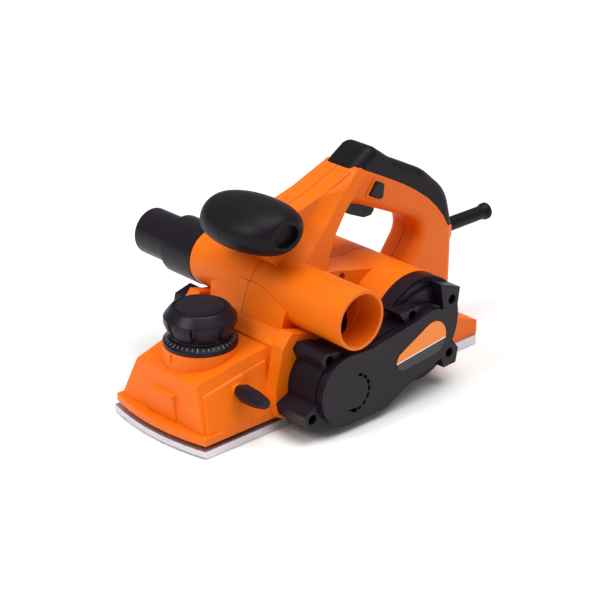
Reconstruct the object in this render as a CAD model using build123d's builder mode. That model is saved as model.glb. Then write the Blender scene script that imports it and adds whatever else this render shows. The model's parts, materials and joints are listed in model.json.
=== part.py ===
# Electric hand planer, in millimetres.
# +Z up, +X towards the rear, +Y towards the right-hand side, seen from behind the machine.
# Origin: on the resting face of the rear sole, on the centre plane, half way along the soles.
import os
from build123d import *

os.makedirs("parts", exist_ok=True)

# Soles
sole_half = 55.0
shoe_front = -151.2
shoe_bulge = 7.4
shoe_rear = -66.5
shoe_thick = 6.5
sole_front = -36.0
sole_rear = 151.3
sole_thick = 8.2

# Cutter
drum_x = -42.0
drum_z = 30.0
cutting_radius = 30.0
drum_radius = 28.3
drum_half = 54.6
mouth_radius = 31.0
chamber_radius = 31.8
chamber_half = 55.4
cheek = 60.0
drum_bearing_radius = 13.0
drum_bearing_width = 8.0
drum_journal = 5.0

# Motor
motor_x = 56.0
motor_z = 51.0
motor_outer = 45.0
motor_inner = 41.0
motor_left = -65.0
motor_right = 62.0
motor_bearing_radius = 11.0
motor_bearing_width = 7.0
motor_journal = 4.0
shaft_radius = 6.0
stator_radius = 39.0
rotor_radius = 23.8

# Belt drive
pulley_right = -80.0
pulley_left = -91.5
drum_pulley_radius = 17.0
motor_pulley_radius = 10.5
belt_thick = 2.4
belt_gap = 0.3
cover_face = -97.0
lug_face = -92.0
cover_wall = 2.6

# Chip tube and adapter
tube_x = -33.0
tube_z = 93.7
tube_outer = 23.95
tube_inner = 20.6
tube_left = -100.2
tube_right = 72.4
tube_mouth = 21.3
mouth_depth = 24.0
adapter_start = 12.0
adapter_step = 108.4
adapter_end = 148.6
adapter_collar = 24.6
adapter_spigot = 19.9

# Nose and depth knob
lip_bottom = 10.0
lip_top = 16.3
deck_front_x = -143.5
deck_front_z = 51.0
deck_slope = 0.2236
knob_x = -107.7
knob_base_z = 65.6
spindle_radius = 4.0

# Handle
handle_half = 18.5
strut_half = 16.5
grip_rounding = 9.0
grip_x = -54.0
grip_z = 150.0
sleeve_z = 86.5
sleeve_bore = 3.9

# Fence clamp knob
fence_x = -109.5
fence_z = 41.0
fence_seat = -46.5

running = 0.05
wall = 3.0

throat_x = (-50, -22)
throat_y = (-26, 26)

# Outlines in the XZ plane
top_corners = [(38, 174), (62, 189), (84, 173), (124, 152.5), (151, 128.5), (159, 96)]
top_radii = [10, 50, 60, 40]
under_corners = [(100, 22), (100, 74), (125, 106.5), (52, 140)]
under_radius = 16
pad_line = [(30, 170.5), (42.9, 175.4), (65, 164.3), (81, 156), (96.5, 147.5), (110, 139),
            (124, 129), (135, 118.5), (144, 107.5), (150, 97), (170, 92)]
flange_outline = [(-76, 9.8), (-83, 14), (-84, 36), (-76, 70), (-67, 80), (-50, 75), (-36, 67),
                  (-14, 66), (0, 60), (0, 8.2), (-60, 8.2), (-60, 9.8)]
cover_lugs = {
    "front_top": (-57.8, 65.2),
    "front_bottom": (-75.5, 21.4),
    "middle_top": (31.8, 75.3),
    "rear_top": (77.4, 75.2),
    "rear_bottom": (76.0, 28.7),
}
front_lugs = [cover_lugs["front_top"], cover_lugs["front_bottom"]]
rear_lugs = [cover_lugs["middle_top"], cover_lugs["rear_top"], cover_lugs["rear_bottom"]]
lug_outlines = [
    [(-66.6, 67.5), (-62, 72), (-47, 69.5), (-47, 52), (-60, 52)],
    [(-84, 26), (-81.5, 17), (-74, 10), (-60, 10), (-60, 32), (-70, 32)],
    [(17.5, 80.5), (40, 81), (42, 66), (28, 66)],
    [(64, 92), (86.5, 83.5), (84, 68), (68, 68)],
    [(84, 17.5), (86.5, 30), (80, 38), (66, 30), (70, 17)],
]
arrow_centre = Vector(-35.0, 32.0)
arrow_radius = 15.0
arrow_head = [arrow_centre + Vector(reach, 0).rotate(Axis.Z, turn)
              for reach, turn in ((12.6, -84), (17.6, -84), (15.0, -122))]
case_screws = [(28, 158), (98, 140), (131, 109.5), (138, 42)]
saddle_screw = (9, 97)
sole_screws = [(x, y) for x in (6, 76, 142) for y in (-36, 36)]
guide_pins = {"left": -30.0, "right": 30.0}
pin_x = -90.0


def deck_z(x):
    """Height of the sloping nose deck."""
    return deck_front_z + (x - deck_front_x) * deck_slope


def side_plane(y):
    """An XZ plane at y; its normal, and so a positive extrusion, points to the left, along -Y."""
    return Plane.XZ.offset(-y)


def finish(piece, label):
    piece.part.label = label
    export_step(piece.part, f"parts/{label}.step")


def bar_across(x, z, radius, right, left, mode=Mode.ADD):
    """A round bar or bore along Y."""
    with Locations((x, (right + left) / 2, z)):
        Cylinder(radius, right - left, rotation=(90, 0, 0), mode=mode)


def slab_across(points, right, left, mode=Mode.ADD):
    """A plate along Y with a polygon outline."""
    with BuildSketch(side_plane(right)) as outline:
        Polygon(*points, align=None)
    extrude(outline.sketch, amount=right - left, mode=mode)


def block(x_span, y_span, z_span, mode=Mode.ADD):
    """A rectangular block between pairs of limits."""
    sizes = [high - low for low, high in (x_span, y_span, z_span)]
    middle = [(low + high) / 2 for low, high in (x_span, y_span, z_span)]
    with Locations(tuple(middle)):
        Box(*sizes, mode=mode)


def post(x, y, radius, bottom, top, mode=Mode.ADD):
    """A round post or bore along Z."""
    with Locations((x, y, (bottom + top) / 2)):
        Cylinder(radius, top - bottom, mode=mode)


# ---- soles

with BuildPart() as rear_sole:
    with BuildSketch(Plane.XY):
        Polygon((sole_front, -sole_half), (sole_rear, -sole_half), (sole_rear, sole_half),
                (sole_front, sole_half), align=None)
    extrude(amount=sole_thick)
    fillet(rear_sole.edges().filter_by(Axis.Z).group_by(Axis.X)[-1], radius=3)
    bar_across(drum_x, drum_z, mouth_radius, sole_half + 1, -sole_half - 1, Mode.SUBTRACT)
    with Locations(*[(x, y, 0) for x, y in sole_screws]):
        CounterSinkHole(radius=2.1, counter_sink_radius=4.3, depth=sole_thick + 1)
    with BuildSketch(Plane.XY):
        with Locations(*sole_screws):
            Circle(4.3)
    extrude(amount=0.6, mode=Mode.SUBTRACT)
finish(rear_sole, "rear_sole")

with BuildPart() as front_shoe:
    with BuildSketch(Plane.XY):
        with BuildLine():
            ThreePointArc((shoe_front, -sole_half), (shoe_front - shoe_bulge, 0), (shoe_front, sole_half))
            Polyline((shoe_front, sole_half), (shoe_rear, sole_half), (shoe_rear, -sole_half),
                     (shoe_front, -sole_half))
        make_face()
    extrude(amount=shoe_thick)
    chamfer(front_shoe.edges().group_by(Axis.Z)[0].sort_by(Axis.X)[0], length=1.6)
    for groove_y, groove_depth in ((37, 2.6), (-11, 2.0), (-30, 1.6)):
        with BuildSketch(Plane.YZ.offset(-160)):
            Polygon((groove_y - groove_depth, 0), (groove_y + groove_depth, 0), (groove_y, groove_depth),
                    align=None)
        extrude(amount=shoe_rear + 161, mode=Mode.SUBTRACT)
    post(knob_x, 0, 9, shoe_thick, 24)
    post(knob_x, 0, spindle_radius + running, shoe_thick, 24, Mode.SUBTRACT)
    for pin_y in guide_pins.values():
        post(pin_x, pin_y, 3, 3, shoe_thick, Mode.SUBTRACT)
finish(front_shoe, "front_shoe")

for side, pin_y in guide_pins.items():
    with BuildPart() as guide_pin:
        post(pin_x, pin_y, 3, 3, 38)
        chamfer(guide_pin.edges().group_by(Axis.Z)[-1], length=0.8)
    finish(guide_pin, f"guide_pin_{side}")

# ---- base housing: the outer form first, because the upper halves and covers are cut to it


def nose_block(inset, foot, head):
    """The tapered nose between two levels, brought in by an inset, under the sloping deck."""
    with BuildPart() as nose:
        with BuildSketch(Plane.XY.offset(foot)):
            Polygon((-148 + inset, -49 + inset), (-58, -54 + inset), (-58, 54 - inset),
                    (-148 + inset, 49 - inset), align=None)
        with BuildSketch(Plane.XY.offset(head)):
            Polygon((-139 + inset, -25.6 + inset), (-58, -44 + inset), (-58, 44 - inset),
                    (-139 + inset, 25.6 - inset), align=None)
        loft()
        slab_across([(-160, deck_z(-160) - inset), (-50, deck_z(-50) - inset), (-50, 120), (-160, 120)],
                    60, -60, Mode.SUBTRACT)
    return nose.part


with BuildPart() as base_form:
    add(nose_block(0, lip_top, 76))
    with BuildSketch(Plane.XY.offset(lip_bottom)):
        with BuildLine():
            ThreePointArc((shoe_front + 1.5, -53.5), (shoe_front - shoe_bulge + 1.5, 0),
                          (shoe_front + 1.5, 53.5))
            Polyline((shoe_front + 1.5, 53.5), (-66, 53.5), (-66, -53.5), (shoe_front + 1.5, -53.5))
        make_face()
    extrude(amount=lip_top - lip_bottom)
    with Locations((knob_x, 0, knob_base_z - 8)):
        Cone(bottom_radius=31.2, top_radius=29.6, height=16)
    slab_across([(-76, 9.8), (-76, 68), (-66, 77), (-50, 73), (-36, 66), (0, 62), (0, 8.2), (-60, 8.2),
                 (-60, 9.8)], 53, -53)
    for right, left in ((-48, -cheek), (cheek, 48)):
        slab_across(flange_outline, right, left)
    slab_across([(-2, 8.2), (sole_rear + 1.3, 8.2), (sole_rear + 1.3, 20.4), (126, 30), (-2, 30)], 52.5, -52.5)
    slab_across([(-2, 13), (96, 13), (96, 30), (-2, 30)], -50, -cheek)
    for right, left in ((-59, -64.5), (64.5, 59)):
        bar_across(drum_x, drum_z, 16.5, right, left)

# ---- upper halves: outer form


def handle_bar(inset, half_width):
    """The grip bar and rear leg, cut from one side outline brought in by an inset."""
    with BuildPart() as bar:
        with BuildSketch(side_plane(half_width)) as outline:
            with BuildLine():
                FilletPolyline(*top_corners, radius=top_radii)
                Polyline(top_corners[-1], (157.5, 22), under_corners[0])
                FilletPolyline(*under_corners, radius=under_radius)
                Polyline(under_corners[-1], (36, 146), top_corners[0])
            make_face()
            if inset:
                offset(amount=-inset)
        extrude(outline.sketch, amount=2 * half_width)
        side_edges = bar.faces().filter_by(Axis.Y).edges()
        fillet([edge for edge in side_edges if edge.center().Z > 30 and edge.center().X > 37.5],
               radius=grip_rounding - inset)
    return bar.part


leg_sections = [
    # height, rear, side crease, front, half width at the crease, half width in front
    (92, -6, -48, -56, 34, 18),
    (115, 0, -27.4, -42, 31, 16.5),
    (129.7, 9, -9.7, -26, 28, 16.5),
    (145.2, 23, 8.3, -10, 25, 16.5),
    (160.8, 42, 26.3, 5.3, 22, 16.5),
    (174.2, 60, 43.5, 38, 18.5, 12),
]
duct_sections = [
    # height, front at the centre, front at the sides, half width
    (62, -71, -64.5, 41),
    (89, -62.3, -59, 43.5),
    (101.6, -57.5, -56.5, 14.6),
]


def front_leg(inset):
    """The six-sided leg, wider towards its foot."""
    with BuildPart() as leg:
        for height, rear, crease, front, wide, narrow in leg_sections:
            with BuildSketch(Plane.XY.offset(height)):
                Polygon((rear - inset, inset - wide), (rear - inset, wide - inset), (crease, wide - inset),
                        (front + inset, narrow - inset), (front + inset, inset - narrow),
                        (crease, inset - wide), align=None)
        loft(ruled=True)
    return leg.part


with BuildPart() as upper_form:
    bar_across(tube_x, tube_z, tube_outer, tube_right, tube_left)
    bar_across(motor_x, motor_z, motor_outer, motor_right, motor_left)
    for height, middle, side, wide in duct_sections:
        with BuildSketch(Plane.XY.offset(height)):
            Polygon((side, -wide), (-30, -wide), (-30, wide), (side, wide), (middle, 0), align=None)
    loft(ruled=True)
    slab_across([(-33, 62), (-33, 100), (-14, 106), (4, 104), (22, 99), (56, 92), (56, 30), (-1, 30)],
                36, -36)
    add(front_leg(0))
    slab_across([(-62, 142), (-60, 152), (-25, 153), (5, 161), (37, 173), (30, 150), (0, 112), (-40, 112),
                 (-52, 128)], strut_half, -strut_half)
    add(handle_bar(0, handle_half))
    slab_across([(150, 97), (163, 92), (163, 82), (158, 74), (150, 72)], 11, -11)
    add(base_form.part, mode=Mode.SUBTRACT)
    block((-60, 170), (-130, 130), (-20, 9.0), Mode.SUBTRACT)
    bar_across(tube_x, tube_z, adapter_collar + 0.5, adapter_end, tube_right, Mode.SUBTRACT)

with BuildPart() as grip_zone:
    slab_across([*pad_line, (170, 200), (30, 200)], 30, -30)

with BuildPart() as handle_core:
    add(handle_bar(2.6, handle_half - 2.6))

# ---- base housing: hollowed

with BuildPart() as base_housing:
    add(base_form.part)
    add(nose_block(wall, lip_bottom - 1, 74), mode=Mode.SUBTRACT)
    block((-130, -78), (-44, 44), (9, 18), Mode.SUBTRACT)
    for pin_y in guide_pins.values():
        post(pin_x, pin_y, 6, 12, 60)
        post(pin_x, pin_y, 3 + running, 11, 45, Mode.SUBTRACT)
    post(knob_x, 0, spindle_radius + running, 40, 70, Mode.SUBTRACT)
    bar_across(fence_x, fence_z, 5.4, -38, fence_seat + 0.3)
    bar_across(fence_x, fence_z, 3 + running, -30, fence_seat, Mode.SUBTRACT)
    bar_across(drum_x, drum_z, chamber_radius, chamber_half, -chamber_half, Mode.SUBTRACT)
    block(throat_x, throat_y, (50, 90), Mode.SUBTRACT)
    bar_across(drum_x, drum_z, drum_bearing_radius + running, 65, -65, Mode.SUBTRACT)
    bar_across(motor_x, motor_z, motor_inner, 58, -61, Mode.SUBTRACT)
    block((103, 148), (-48, 48), (7, 17.5), Mode.SUBTRACT)
    for x, z in front_lugs:
        bar_across(x, z, 1.9, -52, -61, Mode.SUBTRACT)
    for x, y in sole_screws:
        post(x, y, 1.9, 8, 16, Mode.SUBTRACT)
finish(base_housing, "base_housing")

# ---- upper halves: grip skin taken off, hollowed, then parted on the centre plane

with BuildPart() as pad_form:
    add(handle_bar(0, handle_half))
    add(grip_zone.part, mode=Mode.INTERSECT)
    add(handle_core.part, mode=Mode.SUBTRACT)

with BuildPart() as leg_hollow:
    add(front_leg(wall))
    bar_across(tube_x, tube_z, tube_outer + wall, 60, -60, Mode.SUBTRACT)
    block((-60, 80), (-40, 40), (80, 100), Mode.SUBTRACT)

button_outline = [(54.2, 149.9), (61.9, 159.8), (70.5, 155.2), (69.3, 144.5), (66, 143.6)]
slot_front = 41.0
slot_rear = 77.0
slot_half = 7.3
bezel_root = 3.0
bezel_height = 1.3
trigger_pivot = (46.0, 145.0)
trigger_pin_radius = 1.5

with BuildPart() as upper_hollow:
    add(upper_form.part)
    with BuildSketch(side_plane(bezel_root - handle_half)) as bezel:
        Polygon(*button_outline, align=None)
        offset(amount=2.6)
    extrude(bezel.sketch, amount=bezel_root + bezel_height)
    for right, left in ((30, handle_half), (-handle_half, -30)):
        slab_across([*pad_line, (170, 200), (30, 200)], right, left, Mode.SUBTRACT)
    add(pad_form.part, mode=Mode.SUBTRACT)
    add(handle_bar(5.2, handle_half - 3.2), mode=Mode.SUBTRACT)
    add(leg_hollow.part, mode=Mode.SUBTRACT)
    bar_across(tube_x, tube_z, tube_inner, tube_right + 1, tube_left - 1, Mode.SUBTRACT)
    bar_across(tube_x, tube_z, tube_mouth, tube_left + mouth_depth, tube_left - 1, Mode.SUBTRACT)
    bar_across(motor_x, motor_z, motor_inner, 58, motor_left - 1, Mode.SUBTRACT)
    block(throat_x, throat_y, (50, 82), Mode.SUBTRACT)
    slab_across([(-4, 82), (-4, 98), (2, 98), (14, 93), (12, 82)], 30, -30, Mode.SUBTRACT)
    bar_across(motor_x, motor_z, motor_bearing_radius + wall, 58, 49)
    bar_across(motor_x, motor_z, motor_bearing_radius + running, 57, 48, Mode.SUBTRACT)
    for vent_x in range(-24, 25, 8):
        block((motor_x + vent_x - 1.5, motor_x + vent_x + 1.5), (57, 63), (64, 82), Mode.SUBTRACT)
    for x, z in case_screws:
        bar_across(x, z, 5, handle_half - 2, 2 - handle_half)
        bar_across(x, z, 1.9, 30, -10, Mode.SUBTRACT)
        bar_across(x, z, 3.6, 30, 13, Mode.SUBTRACT)
    bar_across(*saddle_screw, 1.9, 6, -40, Mode.SUBTRACT)
    bar_across(*saddle_screw, 3.6, -30, -40, Mode.SUBTRACT)
    block((slot_front, slot_rear), (-slot_half, slot_half), (110, 156), Mode.SUBTRACT)
    bar_across(*trigger_pivot, trigger_pin_radius, 10, -10, Mode.SUBTRACT)
    with BuildSketch(side_plane(-10)) as button_hole:
        Polygon(*button_outline, align=None)
        offset(amount=0.35)
    extrude(button_hole.sketch, amount=12, mode=Mode.SUBTRACT)
    with Locations((157, 0, sleeve_z)):
        Cylinder(6.25, 20, rotation=(0, 90, 0), mode=Mode.SUBTRACT)

for side, keep in (("left", Keep.TOP), ("right", Keep.BOTTOM)):
    with BuildPart() as housing_half:
        add(upper_hollow.part)
        split(bisect_by=Plane.XZ, keep=keep)
    finish(housing_half, f"{side}_housing")
    with BuildPart() as grip_pad:
        add(pad_form.part)
        split(bisect_by=Plane.XZ, keep=keep)
    finish(grip_pad, f"grip_pad_{side}")

# ---- front grip

grip_rings = [(40, 15.5, 12), (36, 21.5, 15.5), (24, 29.5, 18.8), (0, 33.5, 20.5), (-24, 29.5, 18.8),
              (-36, 21.5, 15.5), (-40, 15.5, 12)]

with BuildPart() as grip_form:
    for ring_y, ring_long, ring_high in grip_rings:
        with BuildSketch(side_plane(ring_y)):
            with Locations((grip_x, grip_z)):
                Ellipse(ring_long, ring_high)
    loft()
    for ring_y, depth in ((40, 5), (-35, 5)):
        with BuildSketch(side_plane(ring_y)):
            with Locations((grip_x, grip_z)):
                Ellipse(12.5, 9)
        extrude(amount=depth, mode=Mode.SUBTRACT)
    add(upper_form.part, mode=Mode.SUBTRACT)

for side, keep in (("left", Keep.TOP), ("right", Keep.BOTTOM)):
    with BuildPart() as front_grip:
        add(grip_form.part)
        split(bisect_by=Plane.XZ, keep=keep)
    finish(front_grip, f"front_grip_{side}")

# ---- belt cover, one moulding with the stepped motor ring and the screw pillars

front_lobe = (-41, 36, 29)
rear_lobe = (50.5, 51.5, 24)
bridge_outline = [(-41, 7), (-2, 7), (30, 21), (50.5, 27.5), (44, 74.6), (32, 71.6), (-16, 64), (-41, 65)]


def cover_layer(grow, right, left):
    """The two lobes and the bridge between them, grown or shrunk, between two sides."""
    with BuildPart() as layer:
        with BuildSketch(side_plane(right)) as outline:
            for x, z, radius in (front_lobe, rear_lobe):
                with Locations((x, z)):
                    Circle(radius)
            Polygon(*bridge_outline, align=None)
            if grow:
                offset(amount=grow, kind=Kind.INTERSECTION)
        extrude(outline.sketch, amount=right - left)
    return layer.part


with BuildPart() as belt_cover:
    add(cover_layer(1.4, -cheek, -90))
    add(cover_layer(0, -89, cover_face))
    for step_radius, right, left in ((44.6, motor_left, -78), (42, -77, -80), (36, -79, -83)):
        bar_across(motor_x, motor_z, step_radius, right, left)
    for outline in lug_outlines[:2]:
        slab_across(outline, -cheek, lug_face)
    for outline in lug_outlines[2:]:
        slab_across(outline, motor_left, lug_face)
    bar_across(motor_x, motor_z, motor_outer, -50, motor_left, Mode.SUBTRACT)
    bar_across(motor_x, motor_z, 41, motor_left, -75, Mode.SUBTRACT)
    add(cover_layer(-cover_wall, -55, cover_face + cover_wall), mode=Mode.SUBTRACT)
    for x, z in rear_lugs:
        bar_across(x, z, 6, -67, lug_face)
    for x, z in cover_lugs.values():
        bar_across(x, z, 2.1, -50, -95, Mode.SUBTRACT)
        bar_across(x, z, 4.1, -84, -100, Mode.SUBTRACT)
    bar_across(drum_x, drum_z, drum_pulley_radius + 3.4, -79, -93, Mode.SUBTRACT)
    with BuildSketch(side_plane(-90)):
        with Locations(arrow_centre):
            with PolarLocations(arrow_radius, 7, start_angle=-72, angular_range=140, endpoint=True):
                SlotOverall(5.0, 2.4, rotation=90)
        Polygon(*arrow_head, align=None)
    extrude(amount=10, mode=Mode.SUBTRACT)
    block((-100, 110), (-110, -50), (-5, 4.0), Mode.SUBTRACT)
finish(belt_cover, "belt_cover")

with BuildPart() as cover_badge:
    with BuildSketch(side_plane(cover_face)):
        with Locations((51, 51)):
            Circle(14.4)
        with Locations((18, 42)):
            Circle(8)
        make_hull()
    extrude(amount=0.6)
finish(cover_badge, "cover_badge")

with BuildPart() as cover_screws:
    for x, z in front_lugs:
        bar_across(x, z, 3.6, -84, -86.5)
        bar_across(x, z, 1.85, -53, -84)
        with Locations((x, -86.5, z)):
            Box(1.2, 1.2, 5, mode=Mode.SUBTRACT)
    for x, z in rear_lugs:
        bar_across(x, z, 3.6, -84, -86.5)
        bar_across(x, z, 1.85, -62.5, -84)
        with Locations((x, -86.5, z)):
            Box(1.2, 1.2, 5, mode=Mode.SUBTRACT)
finish(cover_screws, "cover_screws")

with BuildPart() as bearing_plate:
    bar_across(motor_x, motor_z, motor_inner - 0.1, -62, -67)
    bar_across(motor_x, motor_z, motor_bearing_radius + wall, -67, -74)
    bar_across(motor_x, motor_z, motor_bearing_radius + running, -66, -75, Mode.SUBTRACT)
    bar_across(motor_x, motor_z, shaft_radius + 1, -61, -67, Mode.SUBTRACT)
    for x, z in rear_lugs:
        bar_across(x, z, 1.9, -61, -68, Mode.SUBTRACT)
finish(bearing_plate, "bearing_plate")

# ---- right-hand bearing cover

right_outline = [(-74, 74), (-58, 78), (-48, 70), (-14, 66), (-8, 40), (-12, 13), (-60, 10), (-78, 14), (-83, 36)]
right_screws = [(-65, 69), (-72, 20), (-18, 20)]

with BuildPart() as right_cover:
    slab_across(right_outline, 71, cheek)
    with BuildSketch(side_plane(73)) as raised_face:
        Polygon(*right_outline, align=None)
        offset(amount=-2)
    extrude(raised_face.sketch, amount=2.5)
    bar_across(drum_x, drum_z, 16.9, 66, cheek - 1, Mode.SUBTRACT)
    for x, z in right_screws:
        bar_across(x, z, 2.0, 74, 59, Mode.SUBTRACT)
        bar_across(x, z, 3.9, 74, 67, Mode.SUBTRACT)
finish(right_cover, "right_cover")

with BuildPart() as right_cover_screws:
    for x, z in right_screws:
        bar_across(x, z, 3.6, 69.5, 67)
        bar_across(x, z, 1.85, 67, cheek)
finish(right_cover_screws, "right_cover_screws")

# ---- depth knob

with BuildPart() as depth_spindle:
    post(knob_x, 0, spindle_radius, 13, 84)
finish(depth_spindle, "depth_spindle")

with BuildPart() as depth_scale:
    post(knob_x, 0, 29.3, knob_base_z + 0.3, 69)
    with Locations((knob_x, 0, 70.5)):
        Cone(bottom_radius=28.6, top_radius=24.6, height=3)
    post(knob_x, 0, spindle_radius, 60, 80, Mode.SUBTRACT)
finish(depth_scale, "depth_scale")

with BuildPart() as depth_knob:
    with BuildSketch(Plane.XZ) as knob_profile:
        Polygon((knob_x, 72), (knob_x + 23.6, 72), (knob_x + 28.7, 84), (knob_x + 28.7, 89.5),
                (knob_x + 22.5, 96.4), (knob_x + 19, 97.2), (knob_x, 97.2), align=None)
    revolve(knob_profile.sketch, axis=Axis((knob_x, 0, 0), (0, 0, 1)))
    with BuildSketch(Plane.XY.offset(71)) as flutes:
        with Locations((knob_x, 0)):
            with PolarLocations(33.5, 8, start_angle=22.5):
                Circle(7)
    extrude(flutes.sketch, amount=30, mode=Mode.SUBTRACT)
    post(knob_x, 0, spindle_radius, 71, 84, Mode.SUBTRACT)
finish(depth_knob, "depth_knob")

with BuildPart() as depth_spring:
    with BuildLine() as coil:
        Helix(pitch=4.6, height=27.6, radius=6.3, center=(knob_x, 0, 25))
    with BuildSketch(Plane(coil.line @ 0, z_dir=coil.line % 0)):
        Circle(0.7)
    sweep(path=coil.line, is_frenet=True)
finish(depth_spring, "depth_spring")

# ---- cutter drum

blade_slots = {"front": 1, "rear": -1}

with BuildPart() as cutter_drum:
    bar_across(drum_x, drum_z, drum_radius, drum_half, -drum_half)
    for turn in blade_slots.values():
        x_span = sorted((drum_x + turn * -17, drum_x + turn * -31))
        z_span = sorted((drum_z, drum_z - turn * 8))
        block(x_span, (-60, 60), z_span, Mode.SUBTRACT)
    bar_across(drum_x, drum_z, 8, 60, -60, Mode.SUBTRACT)
finish(cutter_drum, "cutter_drum")

for side, turn in blade_slots.items():
    with BuildPart() as blade:
        block(sorted((drum_x - turn * 19, drum_x - turn * (cutting_radius - 0.05))), (-54.5, 54.5),
              sorted((drum_z - turn * 0.0, drum_z - turn * 1.2)))
        chamfer(blade.edges().filter_by(Axis.Y).sort_by(Axis.X)[0 if turn > 0 else -1], length=0.8)
    finish(blade, f"blade_{side}")
    with BuildPart() as clamp_bar:
        block(sorted((drum_x - turn * 17, drum_x - turn * 26)), (-54.5, 54.5),
              sorted((drum_z - turn * 1.2, drum_z - turn * 8)))
        for screw_y in (-36, 0, 36):
            post(drum_x - turn * 21.5, screw_y, 2.5, *sorted((drum_z - turn * 3, drum_z - turn * 9)),
                 Mode.SUBTRACT)
    finish(clamp_bar, f"clamp_bar_{side}")

with BuildPart() as clamp_screws:
    for turn in blade_slots.values():
        for screw_y in (-36, 0, 36):
            post(drum_x - turn * 21.5, screw_y, 2.4, *sorted((drum_z - turn * 3, drum_z - turn * 8)))
finish(clamp_screws, "clamp_screws")

with BuildPart() as drum_shaft:
    bar_across(drum_x, drum_z, 8, drum_half, -drum_half)
    bar_across(drum_x, drum_z, drum_journal, 64.4, -92.5)
finish(drum_shaft, "drum_shaft")

for side, right in (("right", 64), ("left", -56)):
    with BuildPart() as drum_bearing:
        bar_across(drum_x, drum_z, drum_bearing_radius, right, right - drum_bearing_width)
        bar_across(drum_x, drum_z, drum_journal + running, right, right - drum_bearing_width, Mode.SUBTRACT)
        for face_y in (right, right - drum_bearing_width + 0.4):
            with BuildSketch(side_plane(face_y)) as shield:
                with Locations((drum_x, drum_z)):
                    Circle(10.8)
                    Circle(7.4, mode=Mode.SUBTRACT)
            extrude(shield.sketch, amount=0.4, mode=Mode.SUBTRACT)
    finish(drum_bearing, f"drum_bearing_{side}")

# ---- belt drive


def belt_loop(grow, right, left):
    """The hull of the two pulleys."""
    with BuildPart() as loop:
        with BuildSketch(side_plane(right)) as outline:
            with Locations((drum_x, drum_z)):
                Circle(drum_pulley_radius + grow)
            with Locations((motor_x, motor_z)):
                Circle(motor_pulley_radius + grow)
            make_hull()
        extrude(outline.sketch, amount=right - left)
    return loop.part


with BuildPart() as drive_belt:
    add(belt_loop(belt_gap + belt_thick, pulley_right - 1.2, pulley_left + 1.2))
    add(belt_loop(belt_gap, pulley_right, pulley_left), mode=Mode.SUBTRACT)
finish(drive_belt, "drive_belt")

pulleys = {
    "drum_pulley": (drum_x, drum_z, drum_pulley_radius, drum_journal, 11, -66),
    "motor_pulley": (motor_x, motor_z, motor_pulley_radius, motor_journal, 6.5, -75),
}
for label, (x, z, radius, bore, hub_radius, hub_right) in pulleys.items():
    with BuildPart() as pulley:
        bar_across(x, z, radius, pulley_right, pulley_left)
        bar_across(x, z, hub_radius, hub_right, pulley_right)
        for rib in range(4):
            rib_y = pulley_right - 2.2 - rib * 2.34
            with BuildSketch(side_plane(rib_y)) as rib_gap:
                with Locations((x, z)):
                    Circle(radius + 1)
                    Circle(radius - 1.1, mode=Mode.SUBTRACT)
            extrude(rib_gap.sketch, amount=1.0, mode=Mode.SUBTRACT)
        bar_across(x, z, bore, hub_right + 1, pulley_left - 1, Mode.SUBTRACT)
    finish(pulley, label)

# ---- motor

with BuildPart() as motor_shaft:
    bar_across(motor_x, motor_z, shaft_radius, 49, -60)
    bar_across(motor_x, motor_z, motor_journal, 56.5, -92.5)
finish(motor_shaft, "motor_shaft")

for side, right in (("right", 57), ("left", -66.2)):
    with BuildPart() as motor_bearing:
        bar_across(motor_x, motor_z, motor_bearing_radius, right, right - motor_bearing_width)
        bar_across(motor_x, motor_z, motor_journal + running, right, right - motor_bearing_width, Mode.SUBTRACT)
    finish(motor_bearing, f"motor_bearing_{side}")

with BuildPart() as rotor_core:
    bar_across(motor_x, motor_z, rotor_radius, 22, -24)
    with BuildSketch(side_plane(23)) as slots:
        with Locations((motor_x, motor_z)):
            with PolarLocations(rotor_radius - 3.5, 12):
                SlotOverall(8, 2.4)
    extrude(slots.sketch, amount=48, mode=Mode.SUBTRACT)
    bar_across(motor_x, motor_z, shaft_radius, 23, -25, Mode.SUBTRACT)
finish(rotor_core, "rotor_core")

with BuildPart() as rotor_winding:
    for right, left in ((30, 22), (-24, -33)):
        bar_across(motor_x, motor_z, 20, right, left)
        bar_across(motor_x, motor_z, shaft_radius, right, left, Mode.SUBTRACT)
finish(rotor_winding, "rotor_winding")

with BuildPart() as commutator:
    bar_across(motor_x, motor_z, 12, 48, 33)
    with BuildSketch(side_plane(49)) as segments:
        with Locations((motor_x, motor_z)):
            with PolarLocations(12, 24):
                Rectangle(1.6, 0.5)
    extrude(segments.sketch, amount=17, mode=Mode.SUBTRACT)
    bar_across(motor_x, motor_z, shaft_radius, 49, 32, Mode.SUBTRACT)
finish(commutator, "commutator")

with BuildPart() as cooling_fan:
    bar_across(motor_x, motor_z, 36, -48, -50)
    bar_across(motor_x, motor_z, 10, -48, -58)
    with BuildSketch(side_plane(-50)) as blades:
        with Locations((motor_x, motor_z)):
            with PolarLocations(24, 14):
                Rectangle(20, 1.4, rotation=25)
    extrude(blades.sketch, amount=8)
    bar_across(motor_x, motor_z, shaft_radius, -47, -59, Mode.SUBTRACT)
finish(cooling_fan, "cooling_fan")

with BuildPart() as air_baffle:
    bar_across(motor_x, motor_z, motor_inner - 0.2, -43.5, -46)
    bar_across(motor_x, motor_z, 27, -43, -47, Mode.SUBTRACT)
finish(air_baffle, "air_baffle")

with BuildPart() as stator:
    bar_across(motor_x, motor_z, stator_radius, 22, -24)
    bar_across(motor_x, motor_z, rotor_radius + 0.7, 23, -25, Mode.SUBTRACT)
finish(stator, "stator")

with BuildPart() as field_coils:
    for right, left in ((31, 22), (-24, -34)):
        bar_across(motor_x, motor_z, 36, right, left)
        bar_across(motor_x, motor_z, 25, right, left, Mode.SUBTRACT)
finish(field_coils, "field_coils")

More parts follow.
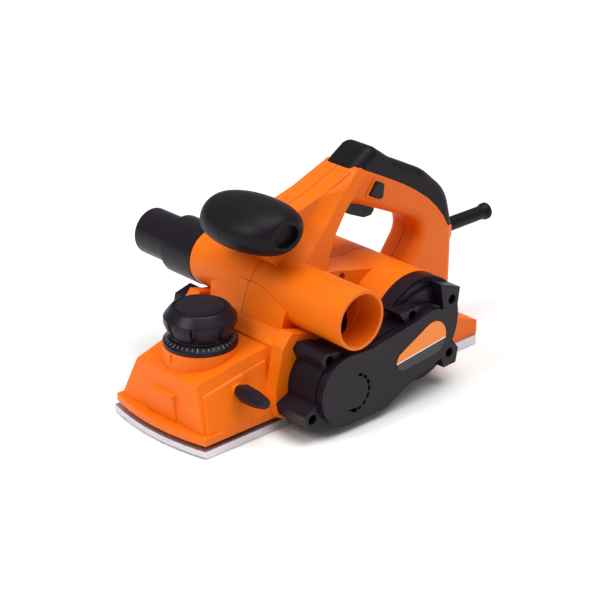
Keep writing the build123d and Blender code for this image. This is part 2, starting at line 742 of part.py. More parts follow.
for side, turn in (("front", -1), ("rear", 1)):
    with BuildPart() as carbon_brush:
        block(sorted((motor_x + turn * 12.3, motor_x + turn * 24)), (37, 44), (motor_z - 3, motor_z + 3))
    finish(carbon_brush, f"carbon_brush_{side}")
    with BuildPart() as brush_holder:
        block(sorted((motor_x + turn * 14, motor_x + turn * 38)), (34.5, 46.5), (motor_z - 5.5, motor_z + 5.5))
        block(sorted((motor_x + turn * 11, motor_x + turn * 36)), (37, 44), (motor_z - 3, motor_z + 3),
              Mode.SUBTRACT)
    finish(brush_holder, f"brush_holder_{side}")

# ---- switch, trigger and lock

with BuildPart() as switch_body:
    block((48, 82), (-9, handle_half - 3.2), (153, 165))
finish(switch_body, "switch_body")

with BuildPart() as trigger:
    slab_across([(42.5, 137), (46, 131.5), (62, 124.5), (70.5, 124.5), (73.5, 128), (73.5, 140.5), (60, 147),
                 (50, 150), (42.5, 149)], 6.6, -6.6)
    bar_across(*trigger_pivot, trigger_pin_radius + running, 8, -8, Mode.SUBTRACT)
    fillet(trigger.edges().filter_by(Axis.Y).group_by(Axis.Z)[0], radius=2.5)
finish(trigger, "trigger")

with BuildPart() as trigger_pin:
    bar_across(*trigger_pivot, trigger_pin_radius, 10, -10)
finish(trigger_pin, "trigger_pin")

with BuildPart() as lock_button:
    slab_across(button_outline, -13, -21.6)
    fillet(lock_button.faces().sort_by(Axis.Y)[0].edges(), radius=0.9)
    with BuildSketch(side_plane(-13.2)) as flange:
        Polygon(*button_outline, align=None)
        offset(amount=1.4)
    extrude(flange.sketch, amount=1.9)
finish(lock_button, "lock_button")

with BuildPart() as capacitor:
    block((127, 145), (3.2 - handle_half, -1), (48, 70))
    fillet(capacitor.edges().filter_by(Axis.X), radius=1.5)
finish(capacitor, "capacitor")

with BuildPart() as cable_clamp:
    block((130, 144), (3.2 - handle_half, -3), (74, 79))
    post(137, -9, 2, 73, 80, Mode.SUBTRACT)
finish(cable_clamp, "cable_clamp")

with BuildPart() as cord_sleeve:
    with BuildSketch(Plane.XZ) as sleeve_profile:
        Polygon((149, sleeve_z + sleeve_bore), (149, sleeve_z + 8.5), (153, sleeve_z + 8.5),
                (153, sleeve_z + 6.2), (211, sleeve_z + 6.0), (215, sleeve_z + 7.4), (218.5, sleeve_z + 7.4),
                (218.5, sleeve_z + sleeve_bore), align=None)
    revolve(sleeve_profile.sketch, axis=Axis((0, 0, sleeve_z), (1, 0, 0)))
finish(cord_sleeve, "cord_sleeve")

# ---- fence clamp knob, a tapered six-sided peg screwed into the side of the nose


with BuildPart() as fence_knob:
    for y, radius in ((fence_seat, 5.2), (-52, 7.4), (-66, 6.8), (-77.5, 4.6)):
        with BuildSketch(side_plane(y)):
            with Locations((fence_x, fence_z)):
                RegularPolygon(radius, 6)
    loft(ruled=True)
    bar_across(fence_x, fence_z, 3, -34, fence_seat - 2)
finish(fence_knob, "fence_knob")

# ---- chip path

with BuildPart() as dust_adapter:
    bar_across(tube_x, tube_z, tube_inner - 0.08, tube_right + 0.3, adapter_start)
    bar_across(tube_x, tube_z, adapter_collar, adapter_step, tube_right + 0.3)
    bar_across(tube_x, tube_z, adapter_spigot, adapter_end, adapter_step)
    fillet(dust_adapter.edges().group_by(Axis.Y)[-1], radius=0.8)
    bar_across(tube_x, tube_z, adapter_spigot - 2.2, adapter_end + 1, adapter_start - 1, Mode.SUBTRACT)
    bar_across(tube_x, tube_z, tube_inner - 2.1, tube_right, adapter_start - 1, Mode.SUBTRACT)
    block((throat_x[0] - 2, throat_x[1] + 2), (adapter_start - 1, throat_y[1] + 1), (68, 83), Mode.SUBTRACT)
finish(dust_adapter, "dust_adapter")

with BuildPart() as chip_deflector:
    bar_across(tube_x, tube_z, tube_inner - 0.1, -8, -76)
    bar_across(tube_x, tube_z, tube_inner - 1.9, -7, -77, Mode.SUBTRACT)
    with BuildSketch(Plane.YZ.offset(tube_x - 40)) as cut:
        Polygon((-4, tube_z - 2), (-58, tube_z - 2), (-78, tube_z - 22), (-78, tube_z + 30),
                (-4, tube_z + 30), align=None)
    extrude(cut.sketch, amount=80, mode=Mode.SUBTRACT)
finish(chip_deflector, "chip_deflector")

# ---- fasteners

with BuildPart() as case_screw_set:
    for x, z in case_screws:
        bar_across(x, z, 3.4, 15.5, 13)
        bar_across(x, z, 1.85, 13, -9)
    bar_across(*saddle_screw, 3.4, -30, -32.5)
    bar_across(*saddle_screw, 1.85, 5, -30)
finish(case_screw_set, "case_screws")

with BuildPart() as sole_screw_set:
    for x, y in sole_screws:
        with Locations((x, y, 2.0)):
            Cone(bottom_radius=4.0, top_radius=1.8, height=2.4)
        post(x, y, 1.8, 2.5, 15)
finish(sole_screw_set, "sole_screws")
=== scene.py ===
import bpy
import json
from math import atan2, cos, degrees, radians, sin
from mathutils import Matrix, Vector


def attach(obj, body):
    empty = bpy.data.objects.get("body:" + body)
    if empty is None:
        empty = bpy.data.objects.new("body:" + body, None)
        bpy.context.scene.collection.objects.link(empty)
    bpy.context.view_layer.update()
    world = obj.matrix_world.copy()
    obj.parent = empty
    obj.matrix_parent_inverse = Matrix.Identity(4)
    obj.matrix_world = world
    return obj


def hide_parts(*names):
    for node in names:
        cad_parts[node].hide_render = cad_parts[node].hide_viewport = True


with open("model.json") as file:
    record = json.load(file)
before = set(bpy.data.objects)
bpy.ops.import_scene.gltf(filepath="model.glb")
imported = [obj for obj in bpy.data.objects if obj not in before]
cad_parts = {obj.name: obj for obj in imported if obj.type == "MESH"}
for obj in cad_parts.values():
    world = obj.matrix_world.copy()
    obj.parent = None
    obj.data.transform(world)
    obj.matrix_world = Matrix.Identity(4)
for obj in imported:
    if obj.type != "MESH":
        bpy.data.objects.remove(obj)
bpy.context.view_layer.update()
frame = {"nodes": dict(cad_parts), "record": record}
print("frame loaded:", len(frame["nodes"]), "nodes")

mm = 0.001
bodyOfNode = {node: body for body, nodes in frame["record"]["behaviour"]["bodies"].items() for node in nodes}
slotOfNode = {part["node"]: part["material_slot"] for part in frame["record"]["subparts"]}


# small tools for materials

def linearColour(hexText):
    channels = [int(hexText[i:i + 2], 16) / 255 for i in (1, 3, 5)]
    return [c / 12.92 if c <= 0.04045 else ((c + 0.055) / 1.055) ** 2.4 for c in channels] + [1.0]


def addNode(tree, kind, settings=None, links=None):
    node = tree.nodes.new(kind)
    for key, value in (settings or {}).items():
        if isinstance(key, str) and hasattr(node, key):
            setattr(node, key, value)
        else:
            node.inputs[key].default_value = value
    for key, source in (links or {}).items():
        tree.links.new(source, node.inputs[key])
    return node


def startMaterial(name):
    material = bpy.data.materials.new(name)
    material.use_nodes = True
    tree = material.node_tree
    tree.nodes.clear()
    shader = addNode(tree, "ShaderNodeBsdfPrincipled")
    addNode(tree, "ShaderNodeOutputMaterial", links={"Surface": shader.outputs[0]})
    place = addNode(tree, "ShaderNodeTexCoord")
    return material, tree, shader, place.outputs["Object"]


def twoTone(tree, factor, first, second):
    colours = {6: linearColour(first), 7: linearColour(second)}  # sockets A and B of a colour mix
    mix = addNode(tree, "ShaderNodeMix", {"data_type": "RGBA", **colours}, {0: factor})
    return mix.outputs[2]


def spread(tree, value, low, high, newLow=0.0, newHigh=1.0):
    step = addNode(tree, "ShaderNodeMapRange",
                   {"From Min": low, "From Max": high, "To Min": newLow, "To Max": newHigh}, {"Value": value})
    return step.outputs[0]


noiseRange = (0.3, 0.7)  # the part of the noise that carries the pattern
plasticGrain = {"roughness": 0.6, "glossSpread": 0.06, "specular": 0.3}
metalLines = {"roughness": 0.65, "glossSpread": 0.08, "depthMm": 0.05}


def mouldedPlastic(name, finish):
    # tone drifts slowly over the moulding, the spark-eroded grain breaks up the gloss
    material, tree, shader, place = startMaterial(name)
    drift = addNode(tree, "ShaderNodeTexNoise", {"Scale": 1 / (finish["driftMm"] * mm), "Detail": 2.0},
                    {"Vector": place})
    grain = addNode(tree, "ShaderNodeTexNoise", {"Scale": 1 / (finish["grainMm"] * mm), "Detail": 3.0,
                                                 "Roughness": plasticGrain["roughness"]}, {"Vector": place})
    shade = twoTone(tree, spread(tree, drift.outputs[0], *noiseRange), finish["colour"], finish["shade"])
    gloss = spread(tree, grain.outputs[0], *noiseRange, finish["roughness"] - plasticGrain["glossSpread"],
                   finish["roughness"] + plasticGrain["glossSpread"])
    bump = addNode(tree, "ShaderNodeBump", {"Strength": finish["grainStrength"],
                                            "Distance": finish["grainDepthMm"] * mm},
                   {"Height": grain.outputs[0]})
    tree.links.new(shade, shader.inputs["Base Color"])
    tree.links.new(gloss, shader.inputs["Roughness"])
    tree.links.new(bump.outputs[0], shader.inputs["Normal"])
    shader.inputs["IOR"].default_value = finish["ior"]
    shader.inputs["Specular IOR Level"].default_value = finish.get("specular", plasticGrain["specular"])
    return material


def brushedMetal(name, finish):
    # fine lines along one direction, from milling or grinding
    material, tree, shader, place = startMaterial(name)
    lines = addNode(tree, "ShaderNodeMapping", {"Scale": [1 / (length * mm) for length in finish["lineMm"]]},
                    {"Vector": place})
    streak = addNode(tree, "ShaderNodeTexNoise", {"Scale": 1.0, "Detail": 4.0,
                                                  "Roughness": metalLines["roughness"]},
                     {"Vector": lines.outputs[0]})
    shade = twoTone(tree, spread(tree, streak.outputs[0], *noiseRange), finish["colour"], finish["shade"])
    gloss = spread(tree, streak.outputs[0], *noiseRange, finish["roughness"] - metalLines["glossSpread"],
                   finish["roughness"] + metalLines["glossSpread"])
    bump = addNode(tree, "ShaderNodeBump", {"Strength": finish["lineStrength"],
                                            "Distance": metalLines["depthMm"] * mm},
                   {"Height": streak.outputs[0]})
    tree.links.new(shade, shader.inputs["Base Color"])
    tree.links.new(gloss, shader.inputs["Roughness"])
    tree.links.new(bump.outputs[0], shader.inputs["Normal"])
    shader.inputs["Metallic"].default_value = finish["metallic"]
    return material


def printedFoil(name, finish):
    # screen-printed foil: orange above a slanting white line, black below it, under a clear gloss
    material, tree, shader, place = startMaterial(name)
    parts = addNode(tree, "ShaderNodeSeparateXYZ", links={"Vector": place})
    rise = addNode(tree, "ShaderNodeMath", {"operation": "MULTIPLY_ADD", 1: -finish["slope"],
                                            2: (finish["slope"] * finish["edgeX"] - finish["edgeZ"]) * mm},
                   {0: parts.outputs[0]})
    height = addNode(tree, "ShaderNodeMath", {"operation": "ADD"}, {0: rise.outputs[0], 1: parts.outputs[2]})
    above = addNode(tree, "ShaderNodeMath", {"operation": "GREATER_THAN", 1: finish["lineMm"] * mm},
                    {0: height.outputs[0]})
    onLine = addNode(tree, "ShaderNodeMath", {"operation": "GREATER_THAN", 1: 0.0}, {0: height.outputs[0]})
    ink = twoTone(tree, onLine.outputs[0], finish["black"], finish["line"])
    full = addNode(tree, "ShaderNodeMix", {"data_type": "RGBA", 7: linearColour(finish["orange"])},
                   {0: above.outputs[0], 6: ink})
    tree.links.new(full.outputs[2], shader.inputs["Base Color"])
    shader.inputs["Roughness"].default_value = finish["roughness"]
    return material


materials = {
    # ABS injection moulding, spark-eroded tool: satin, a fine grain in the highlights
    "orange_abs": mouldedPlastic("orangeSparkTexturedAbs", {
        "colour": "#f0720c", "shade": "#e96a07", "driftMm": 60, "grainMm": 1.1, "grainStrength": 0.12,
        "grainDepthMm": 0.12, "roughness": 0.42, "ior": 1.5, "specular": 0.2}),
    # glass-filled nylon: nearly black, slightly purple, with a broad sheen
    "black_nylon": mouldedPlastic("blackGlassFilledNylon", {
        "colour": "#1c1520", "shade": "#17111a", "driftMm": 40, "grainMm": 1.0, "grainStrength": 0.16,
        "grainDepthMm": 0.12, "roughness": 0.36, "ior": 1.52, "specular": 0.18}),
    # thermoplastic rubber moulded over the grips: softer, wider sheen
    "soft_grip": mouldedPlastic("overmouldedSoftGrip", {
        "colour": "#161118", "shade": "#120e13", "driftMm": 35, "grainMm": 1.2, "grainStrength": 0.2,
        "grainDepthMm": 0.15, "roughness": 0.46, "ior": 1.5, "specular": 0.15}),
    # aluminium casting with a milled face: pale, fine lines across the machine
    "cast_aluminium": brushedMetal("milledCastAluminium", {
        "colour": "#dcd7dc", "shade": "#c6c1c8", "lineMm": (1.2, 30, 1.2), "lineStrength": 0.25,
        "roughness": 0.34, "metallic": 0.85}),
    # steel plated with bright zinc: cool pale grey with faint streaks
    "zinc_steel": brushedMetal("zincPlatedSteel", {
        "colour": "#c3c5c9", "shade": "#a9abb0", "lineMm": (0.8, 6, 0.8), "lineStrength": 0.15,
        "roughness": 0.3, "metallic": 1.0}),
    # ground tool steel: darker than zinc, with a sharper highlight
    "blade_steel": brushedMetal("groundCarbideSteel", {
        "colour": "#b1b3b8", "shade": "#94969c", "lineMm": (3, 0.8, 3), "lineStrength": 0.2,
        "roughness": 0.25, "metallic": 1.0}),
    # varnished electrical steel sheets: dull brown grey, the sheets' edges as close lines
    "lamination_steel": brushedMetal("varnishedLaminations", {
        "colour": "#6d6a68", "shade": "#4e4b4a", "lineMm": (20, 0.7, 20), "lineStrength": 0.5,
        "roughness": 0.5, "metallic": 0.8}),
    # enamelled winding wire: red brown, the turns as lines in a soft shine
    "copper_wire": brushedMetal("enamelledCopperWire", {
        "colour": "#b8622a", "shade": "#8e4618", "lineMm": (1.0, 12, 1.0), "lineStrength": 0.6,
        "roughness": 0.35, "metallic": 0.7}),
    # stamped sheet brass: yellow, faint lines from rolling
    "brass_sheet": brushedMetal("stampedBrass", {
        "colour": "#c9a14e", "shade": "#b08a3c", "lineMm": (8, 0.8, 8), "lineStrength": 0.15,
        "roughness": 0.3, "metallic": 1.0}),
    # pressed carbon: dark grey, matt and grainy
    "carbon": mouldedPlastic("pressedCarbon", {
        "colour": "#2c2c2d", "shade": "#242425", "driftMm": 5, "grainMm": 0.6, "grainStrength": 0.4,
        "grainDepthMm": 0.1, "roughness": 0.6, "ior": 1.6}),
    # neoprene of the drive belt: black and matt
    "belt_rubber": mouldedPlastic("ribbedNeoprene", {
        "colour": "#1c1c1d", "shade": "#171718", "driftMm": 12, "grainMm": 0.9, "grainStrength": 0.3,
        "grainDepthMm": 0.1, "roughness": 0.62, "ior": 1.5}),
    # screen-printed polyester foil: flat colours under a clear gloss
    "badge_foil": printedFoil("printedBadgeFoil", {
        "orange": "#f9850f", "line": "#f4f1ee", "black": "#18131b", "edgeX": 18, "edgeZ": 42.0, "slope": 0.12,
        "lineMm": 0.9, "roughness": 0.28}),
}
# ABS in the shadow of a joint between two mouldings: the same orange, nearly without light
seamShadow = mouldedPlastic("jointShadow", {
    "colour": "#5a2206", "shade": "#4a1b05", "driftMm": 30, "grainMm": 1.0, "grainStrength": 0.05,
    "grainDepthMm": 0.05, "roughness": 0.8, "ior": 1.5})
# nylon and rubber in the shadow of a joint
blackSeam = mouldedPlastic("blackJointShadow", {
    "colour": "#070607", "shade": "#050505", "driftMm": 30, "grainMm": 1.0, "grainStrength": 0.05,
    "grainDepthMm": 0.05, "roughness": 0.8, "ior": 1.5})
# steel of the recessed cover screws coloured nearly black as painted shade, so that their holes look deep
screwHoleShadeSteel = brushedMetal("screwHolePaintedShade", {
    "colour": "#232124", "shade": "#171618", "lineMm": (0.8, 6, 0.8), "lineStrength": 0.15, "roughness": 0.4,
    "metallic": 0.9})
# pad-printed ink: a grey white, matt against the ring
printedWhite = mouldedPlastic("padPrintedWhite", {
    "colour": "#b5b2b3", "shade": "#a6a3a4", "driftMm": 10, "grainMm": 0.8, "grainStrength": 0.05,
    "grainDepthMm": 0.05, "roughness": 0.5, "ior": 1.5})
for nodeName, node in frame["nodes"].items():
    for slotIndex in range(len(node.material_slots)):
        node.material_slots[slotIndex].material = materials[slotOfNode[nodeName]]
# the cover screws take the steel coloured with painted shade of their recessed holes
for nodeName in ("cover_screws", "right_cover_screws"):
    frame["nodes"][nodeName].material_slots[0].material = screwHoleShadeSteel
print("materials ready:", len(materials))


# small tools for pieces

def deselectAll():
    if bpy.context.object and bpy.context.object.mode != "OBJECT":
        bpy.ops.object.mode_set(mode="OBJECT")
    bpy.ops.object.select_all(action="DESELECT")


def takeUp(piece):
    deselectAll()
    piece.select_set(True)
    bpy.context.view_layer.objects.active = piece


def bakePlace(piece):
    takeUp(piece)
    bpy.ops.object.transform_apply(location=True, rotation=True, scale=True)


def applyModifier(piece, kind, settings):
    takeUp(piece)
    modifier = piece.modifiers.new(kind.lower(), kind)
    for key, value in settings.items():
        setattr(modifier, key, value)
    bpy.ops.object.modifier_apply(modifier=modifier.name)


def finishPiece(piece, body, slotName, nodes=(), smoothAngle=35):
    takeUp(piece)
    bpy.ops.object.shade_smooth_by_angle(angle=radians(smoothAngle))
    applyModifier(piece, "WEIGHTED_NORMAL", {"mode": "FACE_AREA", "weight": 100, "keep_sharp": True})
    if not piece.material_slots:
        piece.data.materials.append(materials[slotName])
    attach(piece, body)
    if nodes:
        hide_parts(*nodes)


copying = {"mergeMm": 0.004, "flatDegrees": 0.6}


def copyOfNode(nodeName, name):
    # the frame's own solid, merged, as the start of a finer piece
    source = frame["nodes"][nodeName]
    piece = bpy.data.objects.new(name, source.data.copy())
    bpy.context.collection.objects.link(piece)
    takeUp(piece)
    bpy.ops.object.mode_set(mode="EDIT")
    bpy.ops.mesh.select_all(action="SELECT")
    bpy.ops.mesh.remove_doubles(threshold=copying["mergeMm"] * mm)
    bpy.ops.mesh.dissolve_limited(angle_limit=radians(copying["flatDegrees"]))
    bpy.ops.object.mode_set(mode="OBJECT")
    return piece


def roundEdges(piece, width, segments=2, angle=28):
    applyModifier(piece, "BEVEL", {"width": width * mm, "segments": segments, "limit_method": "ANGLE",
                                   "angle_limit": radians(angle), "use_clamp_overlap": True,
                                   "miter_outer": "MITER_ARC", "harden_normals": False})


# pieces that start from the frame's solids

roundedNodes = {
    # node: edge radius in mm
    "base_housing": 0.9, "left_housing": 0.9, "right_housing": 0.9, "belt_cover": 0.9, "right_cover": 0.8,
    "grip_pad_left": 0.6, "grip_pad_right": 0.6, "front_grip_left": 0.8, "front_grip_right": 0.8,
    "dust_adapter": 0.5, "front_shoe": 0.4, "rear_sole": 0.4, "trigger": 0.6, "lock_button": 0.3,
    "fence_knob": 0.5, "cord_sleeve": 0.4, "chip_deflector": 0.3, "depth_scale": 0.3,
}
padEdge = ((30, 170.5), (42.9, 175.4), (65, 164.3))  # lower line of the grip pad over the front leg
padTuck = {"margin": 0.05, "half": 12}  # what lies this far above that line moves in to this half width


def padEdgeHeight(x):
    for (x0, z0), (x1, z1) in zip(padEdge, padEdge[1:]):
        if x0 <= x <= x1:
            return z0 + (z1 - z0) * (x - x0) / (x1 - x0)
    return float("inf")  # nothing is tucked in beyond the line's ends


def tuckUnderPad(piece):
    # the leg's flare ends under the pad
    for vertex in piece.data.vertices:
        x, y, z = vertex.co / mm
        if z > padEdgeHeight(x) + padTuck["margin"] and abs(y) > padTuck["half"]:
            vertex.co.y = (padTuck["half"] if y > 0 else -padTuck["half"]) * mm


for nodeName, radius in roundedNodes.items():
    piece = copyOfNode(nodeName, nodeName + "_moulding")
    if nodeName in ("left_housing", "right_housing"):
        tuckUnderPad(piece)
    roundEdges(piece, radius)
    finishPiece(piece, bodyOfNode[nodeName], slotOfNode[nodeName], [nodeName])
print("rounded pieces ready:", len(roundedNodes))


# joints of the moulded halves

jointLine = {"width": 0.3, "proud": 0.07, "tolerance": 1e-7}


def jointSlice(nodeName, name, material):
    # the thin end of a left moulding at the centre plane, a hair larger all round, shows as the joint's line
    piece = copyOfNode(nodeName, name)
    bpy.ops.object.mode_set(mode="EDIT")
    bpy.ops.mesh.select_all(action="SELECT")
    bpy.ops.mesh.bisect(plane_co=(0, -jointLine["width"] * mm, 0), plane_no=(0, 1, 0), use_fill=True,
                        clear_inner=True, threshold=jointLine["tolerance"])
    bpy.ops.mesh.select_all(action="SELECT")
    bpy.ops.mesh.normals_make_consistent(inside=False)
    bpy.ops.transform.shrink_fatten(value=jointLine["proud"] * mm)
    bpy.ops.object.mode_set(mode="OBJECT")
    piece.data.materials.clear()
    piece.data.materials.append(material)
    return piece


jointLines = {
    # name: node, material
    "housing_joint": ("left_housing", seamShadow),
    "grip_joint": ("grip_pad_left", blackSeam),
    "front_grip_joint": ("front_grip_left", blackSeam),
}
for name, (nodeName, shadow) in jointLines.items():
    piece = jointSlice(nodeName, name, shadow)
    finishPiece(piece, bodyOfNode[nodeName], slotOfNode[nodeName])
print("joint lines ready:", len(jointLines))


# nose: raised boss on the front face, panels with a step on both sides

def shapedBlock(name, placeOf):
    # a cube whose corners go to their places, given as (front-rear, side, height) signs
    bpy.ops.mesh.primitive_cube_add(size=2, location=(0, 0, 0))
    piece = bpy.context.object
    piece.name = name
    for vertex in piece.data.vertices:
        vertex.co = Vector(placeOf(*[round(c) for c in vertex.co])) * mm
    takeUp(piece)
    bpy.ops.object.mode_set(mode="EDIT")
    bpy.ops.mesh.select_all(action="SELECT")
    bpy.ops.mesh.normals_make_consistent(inside=False)
    bpy.ops.object.mode_set(mode="OBJECT")
    return piece


nose = {"footZ": 16.3, "headZ": 76.0, "frontFoot": -148.0, "frontHead": -139.0, "rearX": -58.0,
        "deckFrontX": -143.5, "deckFrontZ": 51.0, "deckSlope": 0.2236,
        # half widths at the foot and at the head, in front and how much wider at the rear
        "footHalf": 49.0, "footFlare": 5.0, "headHalf": 25.6, "headFlare": 18.4,
        "belowFoot": 0.5}  # raised details end this far below the foot


def deckHeight(x):
    return nose["deckFrontZ"] + nose["deckSlope"] * (x - nose["deckFrontX"])


def noseSide(x, z):
    # half width of the nose at a place along it and a height
    share = (z - nose["footZ"]) / (nose["headZ"] - nose["footZ"])
    foot = (nose["footHalf"]
            + nose["footFlare"] * (x - nose["frontFoot"]) / (nose["rearX"] - nose["frontFoot"]))
    head = (nose["headHalf"]
            + nose["headFlare"] * (x - nose["frontHead"]) / (nose["rearX"] - nose["frontHead"]))
    return foot + (head - foot) * share


frontBoss = {"footHalf": 18, "headHalf": 12.5, "headZ": 36.5, "footX": -149.4, "headX": -148.6,
             "inside": -141.0, "widerInside": 2.0, "higherInside": 2.5, "edge": 0.8}


def frontBossPlace(x, y, z):
    half = frontBoss["headHalf"] if z > 0 else frontBoss["footHalf"]
    level = frontBoss["headZ"] if z > 0 else nose["footZ"] - nose["belowFoot"]
    reach = frontBoss["headX"] if z > 0 else frontBoss["footX"]
    if x > 0:
        rise = frontBoss["higherInside"] if z > 0 else 0
        return frontBoss["inside"], y * (half + frontBoss["widerInside"]), level + rise
    return reach, y * half, level


sidePanels = {
    # x of the front and rear edge, each at the foot and at the head, and how far the panel stands out
    "front": {"front": (-145.6, -139.4), "rear": (-104, -101), "proud": 2.6},
    "rear": {"front": (-104, -101), "rear": (-78, -80), "proud": 1.3},
}
# drop below the deck, reach into the wall, how much lower the outer upper edge is, edge radius
panelShape = {"belowDeck": 6.5, "inside": 6, "slant": 2.2, "edge": 0.9}


def addSidePanel(name, side, panel):
    def placeOf(x, y, z):
        across = panel["rear" if x > 0 else "front"][1 if z > 0 else 0]
        level = deckHeight(across) - panelShape["belowDeck"] if z > 0 else nose["footZ"] - nose["belowFoot"]
        outer = y * side > 0
        out = noseSide(across, level) + (panel["proud"] if outer else -panelShape["inside"])
        if outer and z > 0:
            level -= panelShape["slant"]
        return across, side * out, level
    piece = shapedBlock("nose_panel_" + name + ("_left" if side < 0 else "_right"), placeOf)
    roundEdges(piece, panelShape["edge"], 3)
    finishPiece(piece, bodyOfNode["base_housing"], slotOfNode["base_housing"])


piece = shapedBlock("nose_front_boss", frontBossPlace)
roundEdges(piece, frontBoss["edge"], 3)
finishPiece(piece, bodyOfNode["base_housing"], slotOfNode["base_housing"])
for side in (-1, 1):
    for name, panel in sidePanels.items():
        addSidePanel(name, side, panel)
print("nose ready")


# depth knob: flared, eight finger notches, a ring groove in the flat top

depthKnob = {
    "x": -107.7, "sides": 64, "foot": 2, "edge": 0.45, "smoothAngle": 30,
    # notches in the flank: how many, turn and half width in degrees, depth and rim
    "notches": 8, "notchTurn": -5.5, "notchHalf": 7.0, "notchDepth": 2.3, "notchRim": 0.9, "flank": 0.7,
    # they lie this far above the lowest ring and below the fourth
    "notchAbove": 2.2, "notchBelow": 0.2,
    # radius and height of each ring
    "rings": ((23.6, 72.0), (25.4, 76.2), (28.6, 84.0), (28.6, 88.8), (23.4, 95.4), (22.0, 96.2),
              (20.9, 96.4), (20.5, 95.3), (19.7, 95.3), (19.3, 96.6), (10.0, 97.1)),
}


def addDepthKnob(sizes):
    rings = sizes["rings"]
    foot = sizes["foot"]
    bpy.ops.mesh.primitive_cylinder_add(vertices=sizes["sides"], radius=rings[0][0] * mm, depth=foot * mm,
                                        location=(0, 0, (rings[0][1] + foot / 2) * mm))
    piece = bpy.context.object
    piece.name = "depth_knob_moulding"
    bakePlace(piece)
    bpy.ops.object.mode_set(mode="EDIT")
    bpy.ops.mesh.select_all(action="DESELECT")
    bpy.ops.object.mode_set(mode="OBJECT")
    top = max(piece.data.polygons, key=lambda face: face.center.z)
    top.select = True
    bpy.ops.object.mode_set(mode="EDIT")
    radius, height = rings[0][0], rings[0][1] + foot
    for nextRadius, nextHeight in rings[1:]:
        bpy.ops.mesh.extrude_region_move(
            TRANSFORM_OT_translate={"value": (0, 0, (nextHeight - height) * mm)})
        bpy.ops.transform.resize(value=(nextRadius / radius, nextRadius / radius, 1))
        radius, height = nextRadius, nextHeight
    bpy.ops.mesh.select_all(action="DESELECT")
    bpy.ops.object.mode_set(mode="OBJECT")
    step = 360 / sizes["notches"]
    low, high = (rings[0][1] + sizes["notchAbove"]) * mm, (rings[3][1] - sizes["notchBelow"]) * mm
    for face in piece.data.polygons:
        turn = degrees(atan2(face.center.y, face.center.x)) - sizes["notchTurn"]
        turn = (turn + step / 2) % step - step / 2
        onFlank = low < face.center.z < high and abs(face.normal.z) < sizes["flank"]
        if onFlank and abs(turn) < sizes["notchHalf"]:
            face.select = True
    bpy.ops.object.mode_set(mode="EDIT")
    bpy.ops.mesh.inset(thickness=sizes["notchRim"] * mm, depth=-sizes["notchDepth"] * mm)
    bpy.ops.object.mode_set(mode="OBJECT")
    roundEdges(piece, sizes["edge"], 2, 24)
    for vertex in piece.data.vertices:
        vertex.co.x += sizes["x"] * mm
    finishPiece(piece, bodyOfNode["depth_knob"], slotOfNode["depth_knob"], ["depth_knob"],
                sizes["smoothAngle"])


addDepthKnob(depthKnob)


def joinPieces(parts, name):
    deselectAll()
    for part in parts:
        part.select_set(True)
    bpy.context.view_layer.objects.active = parts[0]
    bpy.ops.object.join()
    piece = bpy.context.object
    piece.name = name
    bakePlace(piece)
    return piece


# graduation on the sloping ring under the knob, and its index on the cone
graduation = {"count": 40, "longEvery": 5, "radius": 26.65, "height": 70.6, "slope": 36.9, "width": 0.35,
              "long": 3.4, "short": 2.0, "thick": 0.3}
marks = []
for index in range(graduation["count"]):
    turn = radians(360 * index / graduation["count"])
    length = graduation["long"] if index % graduation["longEvery"] == 0 else graduation["short"]
    across = depthKnob["x"] + graduation["radius"] * cos(turn)
    side = graduation["radius"] * sin(turn)
    bpy.ops.mesh.primitive_cube_add(
        size=mm, location=(across * mm, side * mm, graduation["height"] * mm),
        rotation=(0, radians(graduation["slope"]), turn),
        scale=(length, graduation["width"], graduation["thick"]))
    marks.append(bpy.context.object)
finishPiece(joinPieces(marks, "depth_scale_marks"), bodyOfNode["depth_scale"], slotOfNode["depth_scale"])
bpy.context.object.data.materials[0] = printedWhite

indexRib = {"radius": 30.6, "width": 1.6, "low": 57.5, "high": 64.5, "reach": 1.4, "edge": 0.35}
ribMiddle = (indexRib["low"] + indexRib["high"]) / 2
bpy.ops.mesh.primitive_cube_add(
    size=mm, location=((depthKnob["x"] - indexRib["radius"]) * mm, 0, ribMiddle * mm),
    scale=(indexRib["reach"], indexRib["width"], indexRib["high"] - indexRib["low"]))
rib = bpy.context.object
rib.name = "depth_index_rib"
bakePlace(rib)
roundEdges(rib, indexRib["edge"], 3)
finishPiece(rib, bodyOfNode["base_housing"], slotOfNode["base_housing"])
print("depth knob ready")


# floor, light and camera

studio = {"floorSize": 12.0, "floorHeight": -0.0003, "worldStrength": 0.28, "ceilingStrength": 2.5,
          "ceilingAngle": 55, "ceilingTilt": (8, 6),
          "fibresPerCm": 3, "paperRoughness": 0.9}  # coarser than real paper fibres

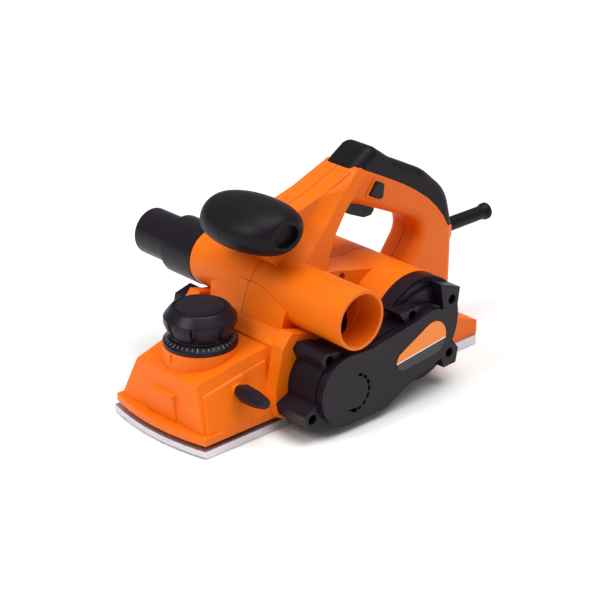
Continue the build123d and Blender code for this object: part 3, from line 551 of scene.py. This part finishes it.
bpy.ops.mesh.primitive_plane_add(size=studio["floorSize"], location=(0, 0, studio["floorHeight"]))
floor = bpy.context.object
floor.name = "studioFloor"
paper, paperTree, paperShader, paperPlace = startMaterial("whitePaperSweep")
fibres = addNode(paperTree, "ShaderNodeTexNoise", {"Scale": studio["fibresPerCm"] / (10 * mm), "Detail": 3.0},
                 {"Vector": paperPlace})
paperTone = twoTone(paperTree, fibres.outputs[0], "#fbfbfb", "#f6f6f6")
paperTree.links.new(paperTone, paperShader.inputs["Base Color"])
paperShader.inputs["Roughness"].default_value = studio["paperRoughness"]
floor.data.materials.append(paper)

scene = bpy.context.scene
scene.view_settings.view_transform = "Standard"
world = bpy.data.worlds.new("whiteStudio")
world.use_nodes = True
background = world.node_tree.nodes["Background"]
background.inputs["Color"].default_value = (1, 1, 1, 1)
background.inputs["Strength"].default_value = studio["worldStrength"]
# the backdrop itself stays white, while the light that it gives is softer
backdrop = addNode(world.node_tree, "ShaderNodeBackground", {"Color": (1, 1, 1, 1), "Strength": 1.0})
path = addNode(world.node_tree, "ShaderNodeLightPath")
split = addNode(world.node_tree, "ShaderNodeMixShader", links={
    0: path.outputs["Is Camera Ray"], 1: background.outputs[0], 2: backdrop.outputs[0]})
world.node_tree.links.new(split.outputs[0], world.node_tree.nodes["World Output"].inputs["Surface"])
scene.world = world

softboxes = {
    # name: place, aim, size, power
    "keyLeft": ((-1.5, 0.2, 1.5), (0, 0, 0.08), 0.9, 19),
    "fillRight": ((0.9, -1.5, 0.9), (0, 0, 0.08), 0.8, 1.5),
}
for name, (place, aim, size, power) in softboxes.items():
    bpy.ops.object.light_add(type="AREA", location=place)
    lamp = bpy.context.object
    lamp.name = name
    lamp.data.size = size
    lamp.data.energy = power
    lamp.rotation_euler = (Vector(aim) - Vector(place)).to_track_quat("-Z", "Y").to_euler()

tiltX, tiltY = (radians(tilt) for tilt in studio["ceilingTilt"])
bpy.ops.object.light_add(type="SUN", location=(0, 0, 2), rotation=(tiltX, tiltY, 0))
ceiling = bpy.context.object
ceiling.name = "ceilingLight"
ceiling.data.energy = studio["ceilingStrength"]
ceiling.data.angle = radians(studio["ceilingAngle"])

camera = {"place": (-1.0031, -1.0714, 0.7264), "aim": (-0.0782, -0.0809, 0.1185),
          "lens": 119.8, "sensor": 36.0}
bpy.ops.object.camera_add(location=camera["place"])
eye = bpy.context.object
eye.rotation_euler = (Vector(camera["aim"]) - Vector(camera["place"])).to_track_quat("-Z", "Y").to_euler()
eye.data.lens = camera["lens"]
eye.data.sensor_width = camera["sensor"]
scene.camera = eye
print("studio ready")
